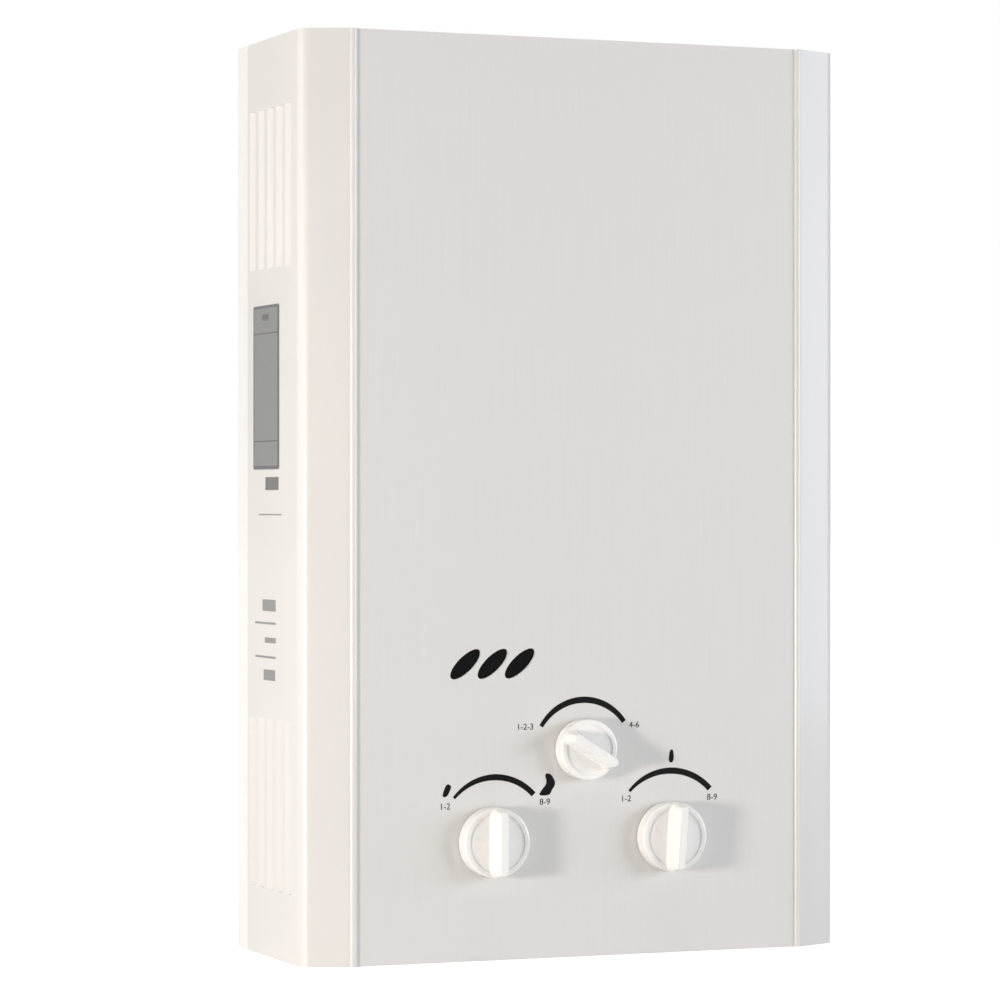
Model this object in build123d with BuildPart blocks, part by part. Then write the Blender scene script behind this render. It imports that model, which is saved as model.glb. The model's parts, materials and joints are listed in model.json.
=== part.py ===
"""Wall-hung instant gas water heater.

A louvred steel case on a back tray holds a burner, a copper heat exchanger with its flue hood, a gas
valve and a water valve joined by a linkage rod, and a battery igniter. Three knobs work the valves.

Lengths are in millimetres. The front faces -Y, +Z is up, and the origin is the centre of the model's
bounding box on its lower rim.
"""

import os
from math import cos, radians, sin

from build123d import *

os.makedirs("parts", exist_ok=True)

# ---------------------------------------------------------------- driving dimensions

# Case
body_width = 326.0
body_height = 515.0
body_depth = 122.0  # from the wall to the crest of the front beads
knob_reach = 18.5  # how far the knobs stand ahead of the bead crests
sheet = 0.8
seam_depth = 19.0  # side flange of the back tray
tray_corner = 2.0
column_width = 29.7  # slanted front column, bead included
column_drop = 11.4  # how far the outer corner lies behind the bead crest
corner_radius = 7.5
bead_width = 4.2
bead_rise = 1.3
panel_recess = 1.8  # front panel behind the bead crest
panel_sheet = 0.6
rim_width = 9.0  # in-turned flange round the bottom opening
lip_length = 9.0  # casing lip that slides into the back tray
lip_root = 2.0

# Louvres
louvre_count = 5
louvre_pitch = 15.6
louvre_width = 10.5
louvre_depth = 3.0
louvre_setback = 62.6  # middle louvre behind the bead crest
upper_louvre_drop = 84.0  # middle of the upper zone below the top
lower_louvre_height = 85.5  # middle of the lower zone above the bottom
upper_louvre_length = 90.0
lower_louvre_length = 95.0

# Wall fixings
fixing_spacing_x = 250.0
fixing_radius = 3.5
lower_fixing_height = 28.0
upper_fixing_drop = 32.0
keyhole_radius = 5.5
keyhole_slot_width = 6.0
keyhole_length = 14.0
keyhole_drop = 24.0
rib_x = 100.0
rib_width = 14.0
rib_depth = 2.4
rib_length = 395.0

# Clearances
seat_gap = 0.05  # radial, pieces that fit in one another and stay put
running_gap = 0.05  # radial, shafts that turn or slide
clear_gap = 0.5  # between pieces of different bodies

# Sight window
ellipse_length = 23.0
ellipse_width = 9.0
ellipse_tilt = 41.5
ellipse_pitch = 16.3
ellipse_count = 3
sight_x = -53.0
sight_z = 165.0
glass_thickness = 3.0
glass_margin = 7.0
frame_width = 6.0

# Knobs and spindles
knob_x = 54.0
lower_knob_z = 66.0
season_knob_x = 1.5
season_knob_z = 116.5
lower_knob_diameter = 39.0
season_knob_diameter = 34.0
knob_gap = 0.6
skirt_height = 9.4
skirt_wall = 2.4
rim_ring = 3.0
rim_step = 0.8
grip_root_width = 9.4
hub_radius = 6.0
spindle_radius = 3.0
spindle_flat = 2.0  # from the spindle axis to its flat
spindle_grip = 11.0  # length of spindle inside the knob
neck_radius = 7.0

# Bottom plate and water and gas connections
plate_height = 44.0
plate_sheet = 1.0
plate_flange = 14.0
nipple_radius = 10.48  # G1/2 outside thread
nipple_bore = 7.5
nipple_end = 8.0
nipple_grip = 9.0
inlet_grip = 4.0  # shorter grip, of the cold inlet in its valve
nipple_hex = 27.0
nipple_collar = 6.0
hot_x = -110.0

# Burner, heat exchanger and flue
core_rear_room = 17.0  # behind the burner and the chamber
core_front_room = 27.0  # in front of them, from the bead crest
core_half_width = 90.0
burner_base = 134.0
bar_count = 10
bar_pitch = 17.0
bar_top_width = 11.0
bar_foot_width = 6.0
bar_height = 26.0
bar_end_gap = 3.0
manifold_reach = 12.0  # middle of the manifold, in front of the bars
chamber_base = 160.0
chamber_height = 172.0
exchanger_height = 60.0
fin_count = 20
fin_pitch = 8.6
fin_thickness = 1.0
tube_radius = 6.0
pass_count = 3
pass_pitch = 24.0
bend_radius = 10.0
coil_gap = 0.3
coil_rise = 40.0  # first turn above the foot of the chamber
first_rise = 4.0  # climb of the turn up to its first corner
long_rise = 12.0  # its climb along the front and along the back
side_rise = 6.0  # its climb along the left side
hot_drop = 32.0  # union of the hot pipe below the passes
flue_bore = 45.0
flue_wall = 1.5
collar_length = 45.0
flue_gap = 1.0

# Valves
rod_offset = 4.0  # linkage rod behind the middle of the burner
barrel_radius = 17.5
flange_radius = 20.5
valve_chamber_radius = 14.0
flange_thickness = 4.0
gas_barrel_left = -84.0
gas_barrel_right = -30.0
water_barrel_left = 36.0
water_barrel_right = 66.0
cover_depth = 11.0
diaphragm_thickness = 1.5
cover_thickness = 3.0
cover_screw_radius = 1.5
cover_screw_count = 4
rod_radius = 2.5
plunger_radius = 3.0
plunger_travel = 3.0
solenoid_radius = 11.0
solenoid_height = 24.0

# Batteries
cell_radius = 16.6
cell_length = 61.5
cell_gap = 0.3
box_wall = 1.2
box_side_gap = 12.0
door_thickness = 1.8

# ---------------------------------------------------------------- places that follow

half_width = body_width / 2
back_y = (body_depth + knob_reach) / 2
ridge_y = back_y - body_depth
seam_y = back_y - seam_depth
panel_y = ridge_y + panel_recess
floor_y = panel_y + panel_sheet
inner_front_y = floor_y + sheet
tray_floor_y = back_y - sheet
core_half_depth = (body_depth - core_rear_room - core_front_room) / 2
core_y = back_y - core_rear_room - core_half_depth
bar_length = 2 * (core_half_depth - bar_end_gap)
bar_front_y = core_y - bar_length / 2
riser_y = bar_front_y - manifold_reach
rod_y = core_y + rod_offset
rod_z = lower_knob_z
cover_screw_circle = (valve_chamber_radius + flange_radius) / 2
bead_outer_x = half_width - column_width + bead_width
bead_inner_x = half_width - column_width
plate_top = plate_height + plate_sheet
collar_radius = flue_bore + flue_wall
notch_radius = collar_radius + flue_gap
chamber_top = chamber_base + chamber_height
exchanger_top = chamber_top + exchanger_height
screw_x = bead_inner_x - 13.0
screw_y = seam_y + lip_length / 2


def level(height):
    """Horizontal plane, drawn from above."""
    return Plane.XY.offset(height)


def facing(depth):
    """Upright plane across the case, drawn from the front. Extrusions run forward."""
    return Plane.XZ.offset(-depth)


def across(offset_x):
    """Upright plane from front to back, with Y and Z in it. Extrusions run to +X."""
    return Plane.YZ.offset(offset_x)


# ---------------------------------------------------------------- case

# Back tray: a shallow pan with two pressed ribs, a hanging keyhole and four wall holes.
fixing_spacing_z = body_height - lower_fixing_height - upper_fixing_drop
fixing_middle_z = lower_fixing_height + fixing_spacing_z / 2
keyhole_z = body_height - keyhole_drop
screw_ends = [
    Location((side * screw_x, screw_y, end), (flip, 0, 0))
    for side in (-1, 1)
    for end, flip in ((0, 180), (body_height, 0))
]
screw_head_radius = 3.4
screw_radius = 1.6
screw_length = 8.0
screw_cone = 1.8

with BuildPart() as back_tray:
    with BuildSketch(level(0)):
        with Locations((0, (seam_y + back_y) / 2)):
            Rectangle(body_width, seam_depth)
    extrude(amount=body_height)
    fillet(back_tray.edges().filter_by(Axis.Z).group_by(Axis.Y)[-1], radius=tray_corner)
    offset(amount=-sheet, openings=back_tray.faces().sort_by(Axis.Y)[0])
    with BuildSketch(facing(tray_floor_y)):
        with Locations((-rib_x, body_height / 2), (rib_x, body_height / 2)):
            SlotOverall(rib_length, rib_width, rotation=90)
    extrude(amount=rib_depth)
    with BuildSketch(facing(back_y)):
        with Locations((-rib_x, body_height / 2), (rib_x, body_height / 2)):
            SlotOverall(rib_length - 2 * sheet, rib_width - 2 * sheet, rotation=90)
    extrude(amount=rib_depth, mode=Mode.SUBTRACT)
    with BuildSketch(facing(back_y)):
        with Locations((0, fixing_middle_z)):
            with GridLocations(fixing_spacing_x, fixing_spacing_z, 2, 2):
                Circle(fixing_radius)
        with Locations((0, keyhole_z - keyhole_length)):
            Circle(keyhole_radius)
        with Locations((0, keyhole_z - keyhole_length / 2)):
            SlotCenterToCenter(keyhole_length, keyhole_slot_width, rotation=90)
    extrude(amount=seam_depth / 2, mode=Mode.SUBTRACT)
    with BuildSketch(level(body_height)):
        with Locations((0, core_y)):
            Circle(notch_radius)
    extrude(amount=-2 * sheet, mode=Mode.SUBTRACT)
    with Locations(*screw_ends):
        CounterSinkHole(screw_radius + seat_gap, screw_head_radius, depth=3 * sheet)
back_tray.part.label = "back_tray"
export_step(back_tray.part, "parts/back_tray.step")

# Front casing: sides, slanted columns with raised beads, recessed front floor, louvres and top.
bead_foot_y = ridge_y + bead_rise
bead_mid_x = (bead_outer_x + bead_inner_x) / 2
louvre_ys = [
    ridge_y + louvre_setback + (i - (louvre_count - 1) / 2) * louvre_pitch for i in range(louvre_count)
]
louvre_zones = [
    (body_height - upper_louvre_drop, upper_louvre_length),
    (lower_louvre_height, lower_louvre_length),
]
ellipse_places = [
    (sight_x + (i - (ellipse_count - 1) / 2) * ellipse_pitch, sight_z) for i in range(ellipse_count)
]
knob_places = [(-knob_x, lower_knob_z), (knob_x, lower_knob_z), (season_knob_x, season_knob_z)]
neck_hole = neck_radius + 1.0

with BuildPart() as front_casing:
    with BuildSketch(level(0)):
        with BuildLine():
            FilletPolyline(
                (half_width, seam_y),
                (half_width, ridge_y + column_drop),
                (bead_outer_x, bead_foot_y),
                radius=corner_radius,
            )
            ThreePointArc((bead_outer_x, bead_foot_y), (bead_mid_x, ridge_y), (bead_inner_x, bead_foot_y))
            Polyline(
                (bead_inner_x, bead_foot_y),
                (bead_inner_x, floor_y),
                (0, floor_y),
                (0, seam_y),
                (half_width, seam_y),
            )
        make_face()
        mirror(about=Plane.YZ)
    extrude(amount=body_height)
    offset(amount=-sheet, openings=front_casing.faces().sort_by(Axis.Y)[-1])
    with BuildSketch(level(0)):
        with Locations((0, (inner_front_y + rim_width + seam_y) / 2)):
            Rectangle(body_width - 2 * (sheet + rim_width), seam_y - inner_front_y - rim_width)
    extrude(amount=sheet, mode=Mode.SUBTRACT)
    with BuildSketch(facing(seam_y + lip_length)):
        with Locations((0, body_height / 2)):
            Rectangle(body_width - 2 * sheet, body_height - 2 * sheet)
            Rectangle(body_width - 4 * sheet, body_height - 4 * sheet, mode=Mode.SUBTRACT)
    extrude(amount=lip_length + lip_root)
    with BuildSketch(level(body_height)):
        with Locations((0, core_y)):
            Circle(notch_radius)
        with Locations((0, (core_y + back_y) / 2)):
            Rectangle(2 * notch_radius, back_y - core_y)
    extrude(amount=-3 * sheet, mode=Mode.SUBTRACT)
    for zone_z, zone_length in louvre_zones:
        with BuildSketch(level(zone_z - zone_length / 2 - sheet)):
            for side in (-1, 1):
                for middle_y in louvre_ys:
                    front = middle_y - louvre_width / 2
                    back = middle_y + louvre_width / 2
                    Polygon(
                        (side * (half_width - sheet), front),
                        (side * (half_width - sheet), back),
                        (side * (half_width - sheet - louvre_depth), front),
                        align=None,
                    )
        extrude(amount=zone_length + 2 * sheet)
        with BuildSketch(level(zone_z - zone_length / 2)):
            for side in (-1, 1):
                for middle_y in louvre_ys:
                    front = middle_y - louvre_width / 2
                    back = middle_y + louvre_width / 2
                    Polygon(
                        (side * (half_width + sheet), front),
                        (side * (half_width + sheet), back),
                        (side * half_width, back),
                        (side * (half_width - louvre_depth), front),
                        align=None,
                    )
        extrude(amount=zone_length, mode=Mode.SUBTRACT)
    with BuildSketch(facing(inner_front_y)):
        with Locations(*knob_places):
            Circle(neck_hole)
        with Locations(*ellipse_places):
            Ellipse(ellipse_length / 2, ellipse_width / 2, rotation=ellipse_tilt)
    extrude(amount=2 * sheet, mode=Mode.SUBTRACT)
    with Locations(*screw_ends):
        CounterSinkHole(screw_radius + seat_gap, screw_head_radius, depth=3 * sheet)
front_casing.part.label = "front_casing"
export_step(front_casing.part, "parts/front_casing.step")

# Brushed front panel between the beads.
with BuildPart() as front_panel:
    with BuildSketch(facing(floor_y)):
        with Locations((0, body_height / 2)):
            Rectangle(2 * (bead_inner_x - seat_gap), body_height)
        with Locations(*knob_places):
            Circle(neck_hole, mode=Mode.SUBTRACT)
        with Locations(*ellipse_places):
            Ellipse(ellipse_length / 2, ellipse_width / 2, rotation=ellipse_tilt, mode=Mode.SUBTRACT)
    extrude(amount=panel_sheet)
front_panel.part.label = "front_panel"
export_step(front_panel.part, "parts/front_panel.step")

# Countersunk screws, two in the top and two in the bottom, flush with the tray.
with BuildPart() as casing_screws:
    with Locations(*screw_ends):
        with Locations((0, 0, -screw_cone / 2 - seat_gap)):
            Cone(screw_radius, screw_head_radius - seat_gap, screw_cone)
        with Locations((0, 0, -screw_cone - seat_gap - (screw_length - screw_cone) / 2)):
            Cylinder(screw_radius, screw_length - screw_cone)
casing_screws.part.label = "casing_screws"
export_step(casing_screws.part, "parts/casing_screws.step")

# Sight glass behind the ellipses, in a pressed frame.
sight_width = (ellipse_count - 1) * ellipse_pitch + ellipse_length + glass_margin
sight_height = ellipse_length + glass_margin

with BuildPart() as sight_glass:
    with BuildSketch(facing(inner_front_y + glass_thickness)):
        with Locations((sight_x, sight_z)):
            Rectangle(sight_width, sight_height)
    extrude(amount=glass_thickness)
sight_glass.part.label = "sight_glass"
export_step(sight_glass.part, "parts/sight_glass.step")

with BuildPart() as sight_frame:
    with BuildSketch(facing(inner_front_y + glass_thickness + sheet)):
        with Locations((sight_x, sight_z)):
            Rectangle(sight_width + 2 * frame_width, sight_height)
            Rectangle(sight_width - glass_margin, sight_height - glass_margin, mode=Mode.SUBTRACT)
    extrude(amount=sheet)
    with BuildSketch(facing(inner_front_y + glass_thickness)):
        with Locations((sight_x, sight_z)):
            with GridLocations(sight_width + frame_width + 2 * seat_gap, 0, 2, 1):
                Rectangle(frame_width, sight_height)
    extrude(amount=glass_thickness)
sight_frame.part.label = "sight_frame"
export_step(sight_frame.part, "parts/sight_frame.step")

# ---------------------------------------------------------------- bottom plate

# It hangs on the tray by its rear flange and carries the valves, the hot nipple and the batteries.
plate_half_width = half_width - louvre_depth - 2 * sheet - 1.0
plate_front_y = inner_front_y + 1.0
plate_shoulder_y = plate_front_y + column_drop
plate_nose = bead_inner_x - 6.0
gas_inlet_x = -knob_x
cold_inlet_x = (water_barrel_left + water_barrel_right) / 2 - 1.0
nipple_xs = [gas_inlet_x, cold_inlet_x, hot_x]
inlet_boss = nipple_radius + 3.5
relief_radius = 4.5
relief_boss = relief_radius + 2.5
relief_x = water_barrel_left + relief_boss
relief_y = rod_y + barrel_radius + 8.5

box_inner_width = 4 * cell_radius + 3 * cell_gap
box_inner_depth = 2 * cell_radius + 2 * cell_gap
box_width = box_inner_width + 2 * box_wall
box_depth = box_inner_depth + 2 * box_wall
box_x = half_width - sheet - box_side_gap - box_width / 2
box_y = rod_y - flange_radius - clear_gap - box_depth / 2
box_height = cell_length + 6.5

with BuildPart() as bottom_plate:
    with BuildSketch(level(plate_height)):
        Polygon(
            (-plate_half_width, tray_floor_y),
            (-plate_half_width, plate_shoulder_y),
            (-plate_nose, plate_front_y),
            (plate_nose, plate_front_y),
            (plate_half_width, plate_shoulder_y),
            (plate_half_width, tray_floor_y),
            align=None,
        )
        with Locations(*[(x, rod_y) for x in nipple_xs]):
            Circle(nipple_radius + seat_gap, mode=Mode.SUBTRACT)
        with Locations((relief_x, relief_y)):
            Circle(relief_radius + 1.0, mode=Mode.SUBTRACT)
        with Locations((box_x, box_y)):
            Rectangle(box_inner_width, box_inner_depth, mode=Mode.SUBTRACT)
    extrude(amount=plate_sheet)
    with BuildSketch(facing(tray_floor_y)):
        with Locations((0, plate_top + plate_flange / 2)):
            Rectangle(2 * plate_half_width, plate_flange)
    extrude(amount=plate_sheet)
    with BuildSketch(facing(plate_front_y)):
        with Locations((0, plate_height - plate_flange / 4)):
            Rectangle(2 * plate_nose, plate_flange / 2)
    extrude(amount=-plate_sheet)
bottom_plate.part.label = "bottom_plate"
export_step(bottom_plate.part, "parts/bottom_plate.step")

# ---------------------------------------------------------------- gas side

neck_front_y = inner_front_y + 1.0
spindle_seat_y = rod_y - rod_radius - 6.0
gas_chamber_length = 22.0
solenoid_x = gas_barrel_left + 14.0
link_x = gas_barrel_right - 9.0
link_radius = 6.0
season_half_width = 18.0
season_half_height = 15.0
season_half_depth = 15.0
riser_boss = 4.0
season_y = riser_y + season_half_depth - riser_boss
port_radius = 4.0
boss_radius = 9.0
barrel_top = rod_z + barrel_radius
solenoid_seat_z = rod_z + barrel_radius + 3.0

with BuildPart() as gas_valve_body:
    with BuildSketch(across(gas_barrel_left)):
        with Locations((rod_y, rod_z)):
            Circle(barrel_radius)
    extrude(amount=gas_barrel_right - gas_barrel_left)
    with BuildSketch(across(gas_barrel_left)):
        with Locations((rod_y, rod_z)):
            Circle(flange_radius)
    extrude(amount=flange_thickness)
    with BuildSketch(facing(rod_y)):
        with Locations((-knob_x, rod_z)):
            Circle(neck_radius)
    extrude(amount=rod_y - neck_front_y)
    with BuildSketch(level(plate_top)):
        with Locations((gas_inlet_x, rod_y)):
            Circle(inlet_boss)
    extrude(amount=rod_z - plate_top)
    with BuildSketch(level(rod_z)):
        with Locations((solenoid_x, rod_y), (link_x, rod_y)):
            Circle(boss_radius)
    extrude(amount=solenoid_seat_z - rod_z)
    with BuildSketch(across(gas_barrel_left)):
        with Locations((rod_y, rod_z)):
            Circle(valve_chamber_radius)
    extrude(amount=gas_chamber_length, mode=Mode.SUBTRACT)
    with BuildSketch(across(gas_barrel_left)):
        with Locations((rod_y, rod_z)):
            with PolarLocations(cover_screw_circle, cover_screw_count, start_angle=45):
                Circle(cover_screw_radius + seat_gap)
    extrude(amount=flange_thickness, mode=Mode.SUBTRACT)
    with BuildSketch(across(gas_barrel_left)):
        with Locations((rod_y, rod_z)):
            Circle(rod_radius + running_gap)
    extrude(amount=gas_barrel_right - gas_barrel_left, mode=Mode.SUBTRACT)
    with BuildSketch(facing(spindle_seat_y)):
        with Locations((-knob_x, rod_z)):
            Circle(spindle_radius + running_gap)
    extrude(amount=spindle_seat_y - neck_front_y, mode=Mode.SUBTRACT)
    with BuildSketch(level(plate_top)):
        with Locations((gas_inlet_x, rod_y)):
            Circle(nipple_radius + seat_gap)
    extrude(amount=nipple_grip, mode=Mode.SUBTRACT)
    with BuildSketch(level(solenoid_seat_z)):
        with Locations((solenoid_x, rod_y)):
            Circle(plunger_radius + clear_gap)
        with Locations((link_x, rod_y)):
            Circle(port_radius)
    extrude(amount=-14.0, mode=Mode.SUBTRACT)
gas_valve_body.part.label = "gas_valve_body"
export_step(gas_valve_body.part, "parts/gas_valve_body.step")

# Cover on the left end of the gas valve.
with BuildPart() as gas_valve_cover:
    with BuildSketch(across(gas_barrel_left)):
        with Locations((rod_y, rod_z)):
            Circle(flange_radius)
            with PolarLocations(cover_screw_circle, cover_screw_count, start_angle=45):
                Circle(cover_screw_radius + seat_gap, mode=Mode.SUBTRACT)
    extrude(amount=-cover_thickness)
    with BuildSketch(across(gas_barrel_left - cover_thickness)):
        with Locations((rod_y, rod_z)):
            Circle(valve_chamber_radius / 2)
    extrude(amount=-3.0)
gas_valve_cover.part.label = "gas_valve_cover"
export_step(gas_valve_cover.part, "parts/gas_valve_cover.step")

# Safety solenoid on the gas valve, with the plunger that it lifts.
with BuildPart() as gas_solenoid:
    with BuildSketch(level(solenoid_seat_z)):
        with Locations((solenoid_x, rod_y)):
            Circle(solenoid_radius)
    extrude(amount=solenoid_height)
    with BuildSketch(level(solenoid_seat_z)):
        with Locations((solenoid_x, rod_y)):
            Circle(plunger_radius + running_gap)
    extrude(amount=solenoid_height - 3.0, mode=Mode.SUBTRACT)
gas_solenoid.part.label = "gas_solenoid"
export_step(gas_solenoid.part, "parts/gas_solenoid.step")

plunger_base_z = solenoid_seat_z - 9.0
plunger_top_z = solenoid_seat_z + solenoid_height - 3.0 - plunger_travel - clear_gap

with BuildPart() as solenoid_plunger:
    with BuildSketch(level(plunger_base_z)):
        with Locations((solenoid_x, rod_y)):
            Circle(plunger_radius)
    extrude(amount=plunger_top_z - plunger_base_z)
solenoid_plunger.part.label = "solenoid_plunger"
export_step(solenoid_plunger.part, "parts/solenoid_plunger.step")

# Burner section valve behind the upper knob.
season_front_y = season_y - season_half_depth
season_base_z = season_knob_z - season_half_height
season_top_z = season_knob_z + season_half_height
manifold_base_z = burner_base + 1.0

with BuildPart() as season_valve_body:
    with BuildSketch(level(season_base_z)):
        with Locations((season_knob_x, season_y)):
            RectangleRounded(2 * season_half_width, 2 * season_half_depth, 4.0)
    extrude(amount=2 * season_half_height)
    with BuildSketch(facing(season_front_y)):
        with Locations((season_knob_x, season_knob_z)):
            Circle(neck_radius)
    extrude(amount=season_front_y - neck_front_y)
    with BuildSketch(level(season_top_z)):
        with Locations((season_knob_x, riser_y)):
            Circle(riser_boss)
    extrude(amount=manifold_base_z - season_top_z)
    with BuildSketch(facing(season_y)):
        with Locations((season_knob_x, season_knob_z)):
            Circle(spindle_radius + running_gap)
    extrude(amount=season_y - neck_front_y, mode=Mode.SUBTRACT)
    with BuildSketch(across(season_knob_x - season_half_width)):
        with Locations((season_y, season_knob_z)):
            Circle(port_radius)
    extrude(amount=season_half_width / 2, mode=Mode.SUBTRACT)
season_valve_body.part.label = "season_valve_body"
export_step(season_valve_body.part, "parts/season_valve_body.step")

# Pipe from the gas valve to the burner section valve.
link_bend = 12.0

with BuildPart() as gas_link_pipe:
    with BuildLine() as link_route:
        FilletPolyline(
            (link_x, rod_y, solenoid_seat_z),
            (link_x, rod_y, season_knob_z),
            (link_x, season_y, season_knob_z),
            (season_knob_x - season_half_width, season_y, season_knob_z),
            radius=min(link_bend, 0.45 * (season_knob_x - season_half_width - link_x)),
        )
    with BuildSketch(level(solenoid_seat_z)):
        with Locations((link_x, rod_y)):
            Circle(link_radius)
            Circle(link_radius - 1.0, mode=Mode.SUBTRACT)
    sweep(path=link_route.wires()[0])
gas_link_pipe.part.label = "gas_link_pipe"
export_step(gas_link_pipe.part, "parts/gas_link_pipe.step")

# ---------------------------------------------------------------- water side

chamber_left_x = water_barrel_right - 12.0
water_seat_y = rod_y - valve_chamber_radius - 1.5
outlet_x = water_barrel_left + 11.0
outlet_y = rod_y + 1.5
outlet_top_z = rod_z + barrel_radius + 6.0

with BuildPart() as water_valve_body:
    with BuildSketch(across(water_barrel_left)):
        with Locations((rod_y, rod_z)):
            Circle(barrel_radius)
    extrude(amount=water_barrel_right - water_barrel_left)
    with BuildSketch(across(water_barrel_right)):
        with Locations((rod_y, rod_z)):
            Circle(flange_radius)
    extrude(amount=-flange_thickness)
    with BuildSketch(facing(water_seat_y)):
        with Locations((knob_x, rod_z)):
            Circle(neck_radius)
    extrude(amount=water_seat_y - neck_front_y)
    with BuildSketch(level(plate_top)):
        with Locations((cold_inlet_x, rod_y)):
            Circle(inlet_boss)
    extrude(amount=barrel_radius)
    with BuildSketch(level(rod_z)):
        with Locations((outlet_x, outlet_y)):
            Circle(boss_radius)
    extrude(amount=outlet_top_z - rod_z)
    with BuildSketch(level(plate_top)):
        with Locations((relief_x, (rod_y + relief_y) / 2)):
            Rectangle(2 * relief_boss, relief_y - rod_y)
        with Locations((relief_x, relief_y)):
            Circle(relief_boss)
    extrude(amount=2 * relief_boss)
    with BuildSketch(across(water_barrel_right)):
        with Locations((rod_y, rod_z)):
            Circle(valve_chamber_radius)
    extrude(amount=chamber_left_x - water_barrel_right, mode=Mode.SUBTRACT)
    with BuildSketch(across(water_barrel_right)):
        with Locations((rod_y, rod_z)):
            with PolarLocations(cover_screw_circle, cover_screw_count, start_angle=45):
                Circle(cover_screw_radius + seat_gap)
    extrude(amount=-flange_thickness, mode=Mode.SUBTRACT)
    with BuildSketch(across(water_barrel_left)):
        with Locations((rod_y, rod_z)):
            Circle(rod_radius + running_gap)
    extrude(amount=water_barrel_right - water_barrel_left, mode=Mode.SUBTRACT)
    with BuildSketch(facing(water_seat_y)):
        with Locations((knob_x, rod_z)):
            Circle(spindle_radius + running_gap)
    extrude(amount=water_seat_y - neck_front_y, mode=Mode.SUBTRACT)
    with BuildSketch(level(plate_top)):
        with Locations((cold_inlet_x, rod_y)):
            Circle(nipple_radius + seat_gap)
    extrude(amount=inlet_grip, mode=Mode.SUBTRACT)
    with BuildSketch(level(outlet_top_z)):
        with Locations((outlet_x, outlet_y)):
            Circle(port_radius)
    extrude(amount=-8.0, mode=Mode.SUBTRACT)
    with BuildSketch(level(plate_top)):
        with Locations((relief_x, relief_y)):
            Circle(relief_radius + seat_gap)
    extrude(amount=relief_boss, mode=Mode.SUBTRACT)
water_valve_body.part.label = "water_valve_body"
export_step(water_valve_body.part, "parts/water_valve_body.step")

# Rubber diaphragm between the valve and its domed cover.
cover_dome_radius = valve_chamber_radius + 1.5
cover_left_x = water_barrel_right + diaphragm_thickness

with BuildPart() as diaphragm:
    with BuildSketch(across(water_barrel_right)):
        with Locations((rod_y, rod_z)):
            Circle(flange_radius)
            with PolarLocations(cover_screw_circle, cover_screw_count, start_angle=45):
                Circle(cover_screw_radius + seat_gap, mode=Mode.SUBTRACT)
    extrude(amount=diaphragm_thickness)
diaphragm.part.label = "diaphragm"
export_step(diaphragm.part, "parts/diaphragm.step")

with BuildPart() as water_valve_cover:
    with BuildSketch(across(cover_left_x)):
        with Locations((rod_y, rod_z)):
            Circle(flange_radius)
            with PolarLocations(cover_screw_circle, cover_screw_count, start_angle=45):
                Circle(cover_screw_radius + seat_gap, mode=Mode.SUBTRACT)
    extrude(amount=cover_thickness)
    with BuildSketch(across(cover_left_x)):
        with Locations((rod_y, rod_z)):
            Circle(cover_dome_radius - cover_screw_radius)
    extrude(amount=cover_depth, taper=12)
    with BuildSketch(across(cover_left_x)):
        with Locations((rod_y, rod_z)):
            Circle(valve_chamber_radius - 2.0)
    extrude(amount=cover_depth / 2, mode=Mode.SUBTRACT)
water_valve_cover.part.label = "water_valve_cover"
export_step(water_valve_cover.part, "parts/water_valve_cover.step")

# Pan-head screws of both covers.
pan_radius = 2.8
pan_height = 1.8
screw_faces = [
    (gas_barrel_left - cover_thickness, -1, cover_thickness + flange_thickness),
    (cover_left_x + cover_thickness, 1, cover_thickness + diaphragm_thickness + flange_thickness),
]

with BuildPart() as valve_screws:
    for face_x, outward, grip in screw_faces:
        with BuildSketch(across(face_x)):
            with Locations((rod_y, rod_z)):
                with PolarLocations(cover_screw_circle, cover_screw_count, start_angle=45):
                    Circle(pan_radius)
        extrude(amount=outward * pan_height)
        with BuildSketch(across(face_x)):
            with Locations((rod_y, rod_z)):
                with PolarLocations(cover_screw_circle, cover_screw_count, start_angle=45):
                    Circle(cover_screw_radius)
        extrude(amount=-outward * grip)
valve_screws.part.label = "valve_screws"
export_step(valve_screws.part, "parts/valve_screws.step")

# Linkage rod: the diaphragm pushes its plate, its disc opens the gas, its collar trips the switch.
disc_right_x = gas_barrel_left + gas_chamber_length - clear_gap
disc_thickness = 3.0
disc_radius = 10.0
push_plate_right_x = water_barrel_right - clear_gap
push_plate_thickness = 2.5
push_plate_radius = valve_chamber_radius - 2.0
trip_collar_x = 0.9
trip_collar_length = 4.0
trip_collar_radius = 6.0

with BuildPart() as linkage_rod:
    with BuildSketch(across(disc_right_x - disc_thickness)):
        with Locations((rod_y, rod_z)):
            Circle(rod_radius)
    extrude(amount=push_plate_right_x - disc_right_x + disc_thickness)
    with BuildSketch(across(disc_right_x)):
        with Locations((rod_y, rod_z)):
            Circle(disc_radius)
    extrude(amount=-disc_thickness)
    with BuildSketch(across(push_plate_right_x)):
        with Locations((rod_y, rod_z)):
            Circle(push_plate_radius)
    extrude(amount=-push_plate_thickness)
    with BuildSketch(across(trip_collar_x)):
        with Locations((rod_y, rod_z)):
            Circle(trip_collar_radius)
    extrude(amount=trip_collar_length)
linkage_rod.part.label = "linkage_rod"
export_step(linkage_rod.part, "parts/linkage_rod.step")

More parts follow.
